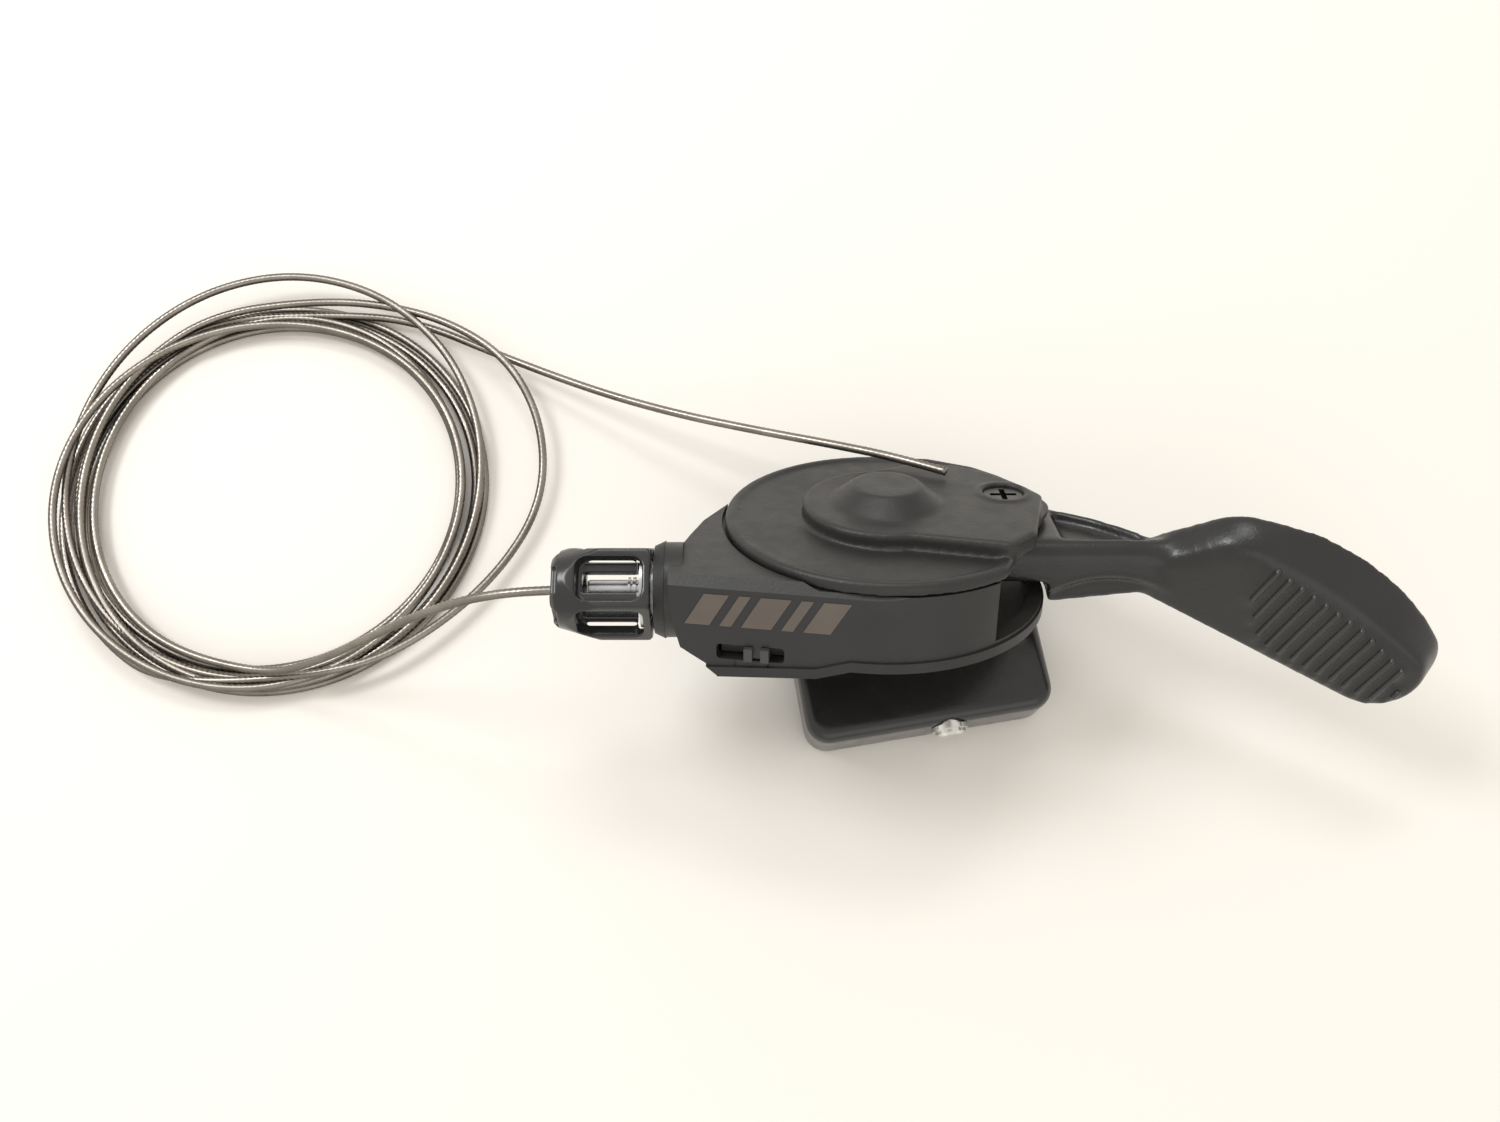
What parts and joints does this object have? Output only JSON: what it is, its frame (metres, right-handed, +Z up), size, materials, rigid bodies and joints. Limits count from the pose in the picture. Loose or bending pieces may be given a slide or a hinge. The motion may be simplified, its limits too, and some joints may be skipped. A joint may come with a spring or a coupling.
{
  "type": "thumb shifter",
  "caption": "Bicycle thumb shifter with a round housing, ribbed thumb lever, barrel adjuster and a clamp mount block, its bare inner cable coiled beside it.",
  "frame": {"origin": "on the surface that the mounting block stands on, under the middle of the shifter without its free cable", "axes": "+X from the barrel adjuster towards the thumb lever, +Y away from the side with the mode window, +Z up"},
  "size_m": [0.1922, 0.0733, 0.0404],
  "materials": {
    "housing_plastic": "fine satin moulding grain",
    "plate_plastic": "satin",
    "cover_plastic": "satin",
    "lever_plastic": "satin, worn smooth on its edges",
    "spool_plastic": "satin",
    "slider_plastic": "satin",
    "cage_plastic": "semi-gloss",
    "bracket_plastic": "semi-gloss black",
    "collar_rubber": "matt",
    "screw_steel": "dark zinc",
    "axle_steel": "turned",
    "pressed_steel": "pressed sheet",
    "spring_steel": "drawn wire",
    "nut_steel": "zinc plated",
    "pin_metal": "bright end",
    "insert_metal": "bright turned",
    "bolt_metal": "bright turned",
    "cable_steel": "stranded wire"
  },
  "bodies": {
    "housing": {"housing_case": "housing_plastic", "base_plate": "plate_plastic", "bottom_cover": "cover_plastic", "cover_screw": "screw_steel", "axle": "axle_steel", "axle_nut": "axle_steel", "lever_spring": "spring_steel", "spool_spring": "spring_steel", "hold_pawl_pin": "axle_steel", "adjuster_collar": "collar_rubber", "adjuster_insert": "insert_metal", "inner_wire": "cable_steel", "bracket": "bracket_plastic", "bracket_screws": "screw_steel", "bracket_pin": "pin_metal", "cable_lead": "cable_steel", "cable_coil": "cable_steel", "cable_loop": "cable_steel", "cable_tail": "cable_steel", "cable_tip": "cable_steel"},
    "lever": {"thumb_lever": "lever_plastic", "lever_hub": "pressed_steel", "pawl_arm": "pressed_steel", "wind_pawl_pin": "axle_steel"},
    "winding_pawl": {"wind_pawl": "pressed_steel"},
    "spool": {"cable_spool": "spool_plastic", "cable_nipple": "pressed_steel", "cable_stub": "cable_steel"},
    "holding_pawl": {"hold_pawl": "pressed_steel"},
    "adjuster": {"adjuster_cage": "cage_plastic"},
    "bolt": {"adjuster_bolt": "bolt_metal"},
    "slider": {"mode_slider": "slider_plastic"},
    "nut": {"slot_nut": "nut_steel"}
  },
  "joints": [
    {"name": "lever_swing", "type": "hinge", "parent": "housing", "child": "lever", "pos_m": [-0.0141, 0.0065, 0.0256], "axis": [0, 0.7349, 0.6782], "range_deg": [0, 40], "stiffness_Nm_per_rad": 0.15, "springref_deg": -51.57},
    {"name": "spool_turn", "type": "hinge", "parent": "housing", "child": "spool", "pos_m": [-0.0141, 0.00216, 0.0216], "axis": [0, 0.7349, 0.6782], "range_deg": [0, 40]},
    {"name": "winding_pawl_lift", "type": "hinge", "parent": "lever", "child": "winding_pawl", "pos_m": [-0.02309, 0.01085, 0.01396], "axis": [0, 0.7349, 0.6782], "range_deg": [0, 10], "stiffness_Nm_per_rad": 0.001, "springref_deg": -28.65},
    {"name": "holding_pawl_lift", "type": "hinge", "parent": "housing", "child": "holding_pawl", "pos_m": [-0.0266, 0.00432, 0.01543], "axis": [0, 0.7349, 0.6782], "range_deg": [0, 10], "stiffness_Nm_per_rad": 0.001, "springref_deg": -28.65},
    {"name": "adjuster_turn", "type": "hinge", "parent": "housing", "child": "adjuster", "pos_m": [-0.0491, -0.00462, 0.02895], "axis": [1, 0, 0], "range_deg": [-720, 720]},
    {"name": "bolt_travel", "type": "slide", "parent": "housing", "child": "bolt", "axis": [1, 0, 0], "range_m": [-0.0014, 0.0014]},
    {"name": "mode_slide", "type": "slide", "parent": "housing", "child": "slider", "axis": [0.9863, -0.1119, 0.1213], "range_m": [-0.0026, 0]},
    {"name": "nut_slide", "type": "slide", "parent": "housing", "child": "nut", "axis": [-0.165, 0.9863, 0], "range_m": [-0.0035, 0.006]}
  ],
  "couplings": [
    {"joint": "spool_turn", "follows": "lever_swing", "ratio": 1},
    {"joint": "adjuster_turn", "follows": "bolt_travel", "rad_per_m": 8976}
  ]
}
